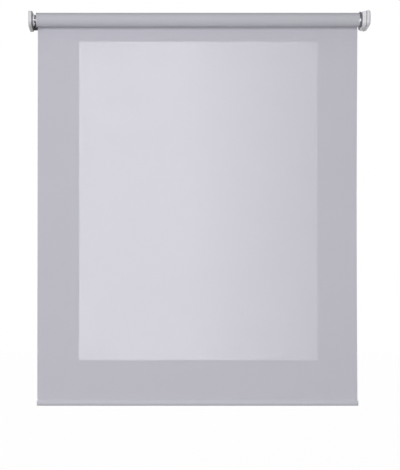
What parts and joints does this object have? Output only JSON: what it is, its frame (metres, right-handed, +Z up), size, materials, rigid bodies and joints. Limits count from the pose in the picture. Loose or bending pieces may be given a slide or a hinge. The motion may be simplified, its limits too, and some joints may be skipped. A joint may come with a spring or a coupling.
{
  "type": "motorized roller blind",
  "caption": "Motorized roller blind: fabric shade wound on a tube with a tubular motor inside, hung between covered wall brackets, with a weighted hem.",
  "frame": {"origin": "on the wall plane, half way between the brackets, level with the roller's axis", "axes": "+X along the roller towards the motor's head, -Y out of the wall to the room, +Z up"},
  "size_m": [0.9569, 0.0622, 1.1112],
  "materials": {
    "cover_plastic": "fine satin, off-white",
    "idle_cover_plastic": "fine satin, light grey",
    "bracket_steel": "satin black paint on steel",
    "motor_bracket_steel": "satin grey paint on steel",
    "hub_nylon": "white nylon",
    "pin_steel": "turned, zinc plated",
    "plug_plastic": "light grey nylon",
    "spring_steel": "bright spring wire",
    "tube_aluminium": "mill finish extrusion",
    "spline_plastic": "white vinyl",
    "fabric": "plain woven polyester, light grey, translucent",
    "crown_plastic": "dark grey nylon",
    "casing_steel": "zinc plated steel",
    "inner_plastic": "black moulded plastic",
    "cell_wrap": "blue shrink wrap",
    "board_green": "green solder mask",
    "gear_polymer": "natural acetal",
    "gear_steel": "machined steel",
    "magnet": "nickel plated magnet",
    "bush_bronze": "sintered bronze",
    "button_plastic": "grey",
    "light_pipe": "clear light pipe",
    "hem_cap_plastic": "light grey"
  },
  "bodies": {
    "wall_frame": {"left_bracket": "bracket_steel", "right_bracket": "motor_bracket_steel", "hub_disc": "hub_nylon", "hub_rivets": "pin_steel", "motor_head": "cover_plastic", "head_clip": "spring_steel", "interface_board": "board_green", "charging_socket": "casing_steel", "status_light": "light_pipe", "motor_casing": "casing_steel", "inner_tray": "inner_plastic", "battery_cells": "cell_wrap", "control_board": "board_green", "motor_can": "casing_steel", "motor_plate": "casing_steel", "brake_housing": "inner_plastic", "brake_spring": "spring_steel", "gearbox_ring": "gear_polymer", "gearbox_cap": "inner_plastic", "output_bush": "bush_bronze"},
    "roller": {"tube": "tube_aluminium", "fabric_spline": "spline_plastic", "fabric_roll": "fabric", "idle_plug": "plug_plastic", "spring_stop": "plug_plastic", "idle_spring": "spring_steel", "crown_ring": "crown_plastic", "crown_key": "hub_nylon", "drive_wheel": "crown_plastic", "drive_screw": "pin_steel", "output_carrier": "gear_steel"},
    "first_stage": {"first_carrier": "gear_steel"},
    "motor_rotor": {"rotor": "gear_steel", "encoder_magnet": "magnet"},
    "hem": {"hem_bar": "tube_aluminium", "hem_pocket": "fabric", "hem_cap_left": "hem_cap_plastic", "hem_cap_right": "hem_cap_plastic", "hanging_fabric": "fabric"},
    "plunger": {"idle_pin": "pin_steel"},
    "button": {"setting_button": "button_plastic"},
    "left_end_cover": {"left_cover": "idle_cover_plastic"},
    "right_end_cover": {"right_cover": "cover_plastic"},
    "first_planet_1": {"first_planet_1": "gear_polymer"},
    "first_planet_2": {"first_planet_2": "gear_polymer"},
    "first_planet_3": {"first_planet_3": "gear_polymer"},
    "second_planet_1": {"second_planet_1": "gear_polymer"},
    "second_planet_2": {"second_planet_2": "gear_polymer"},
    "second_planet_3": {"second_planet_3": "gear_polymer"}
  },
  "joints": [
    {"name": "tube_turn", "type": "hinge", "parent": "wall_frame", "child": "roller", "pos_m": [0, -0.034, 0], "axis": [1, 0, 0], "range_deg": [0, 2664]},
    {"name": "hem_travel", "type": "slide", "parent": "wall_frame", "child": "hem", "axis": [0, 0, 1], "range_m": [0, 1], "deforming": ["hanging_fabric"]},
    {"name": "first_stage_turn", "type": "hinge", "parent": "wall_frame", "child": "first_stage", "pos_m": [0.16, -0.034, 0], "axis": [1, 0, 0], "range_deg": [0, 13325]},
    {"name": "rotor_turn", "type": "hinge", "parent": "wall_frame", "child": "motor_rotor", "pos_m": [0.2, -0.034, 0], "axis": [1, 0, 0], "range_deg": [0, 66625]},
    {"name": "first_planet_1_turn", "type": "hinge", "parent": "first_stage", "child": "first_planet_1", "pos_m": [0.17, -0.028, 0], "axis": [1, 0, 0], "range_deg": [-35530, 0]},
    {"name": "first_planet_2_turn", "type": "hinge", "parent": "first_stage", "child": "first_planet_2", "pos_m": [0.17, -0.037, 0.0052], "axis": [1, 0, 0], "range_deg": [-35530, 0]},
    {"name": "first_planet_3_turn", "type": "hinge", "parent": "first_stage", "child": "first_planet_3", "pos_m": [0.17, -0.037, -0.0052], "axis": [1, 0, 0], "range_deg": [-35530, 0]},
    {"name": "second_planet_1_turn", "type": "hinge", "parent": "roller", "child": "second_planet_1", "pos_m": [0.155, -0.028, 0], "axis": [1, 0, 0], "range_deg": [-7110, 0]},
    {"name": "second_planet_2_turn", "type": "hinge", "parent": "roller", "child": "second_planet_2", "pos_m": [0.155, -0.037, 0.0052], "axis": [1, 0, 0], "range_deg": [-7110, 0]},
    {"name": "second_planet_3_turn", "type": "hinge", "parent": "roller", "child": "second_planet_3", "pos_m": [0.155, -0.037, -0.0052], "axis": [1, 0, 0], "range_deg": [-7110, 0]},
    {"name": "idle_pin_press", "type": "slide", "parent": "roller", "child": "plunger", "axis": [1, 0, 0], "range_m": [0, 0.006], "stiffness_N_per_m": 800, "springref_m": -0.006, "deforming": ["idle_spring"]},
    {"name": "setting_button_press", "type": "slide", "parent": "wall_frame", "child": "button", "axis": [0, 0, 1], "range_m": [0, 0.0008], "stiffness_N_per_m": 600, "springref_m": -0.001},
    {"name": "left_cover_pull", "type": "slide", "parent": "wall_frame", "child": "left_end_cover", "axis": [-1, 0, 0], "range_m": [0, 0.03]},
    {"name": "right_cover_pull", "type": "slide", "parent": "wall_frame", "child": "right_end_cover", "axis": [1, 0, 0], "range_m": [0, 0.03]}
  ],
  "couplings": [
    {"joint": "hem_travel", "follows": "tube_turn", "m_per_rad": 0.0215},
    {"joint": "first_stage_turn", "follows": "tube_turn", "ratio": 5},
    {"joint": "rotor_turn", "follows": "tube_turn", "ratio": 25},
    {"joint": "first_planet_1_turn", "follows": "tube_turn", "ratio": -13.333},
    {"joint": "first_planet_2_turn", "follows": "tube_turn", "ratio": -13.333},
    {"joint": "first_planet_3_turn", "follows": "tube_turn", "ratio": -13.333},
    {"joint": "second_planet_1_turn", "follows": "tube_turn", "ratio": -2.6667},
    {"joint": "second_planet_2_turn", "follows": "tube_turn", "ratio": -2.6667},
    {"joint": "second_planet_3_turn", "follows": "tube_turn", "ratio": -2.6667}
  ]
}
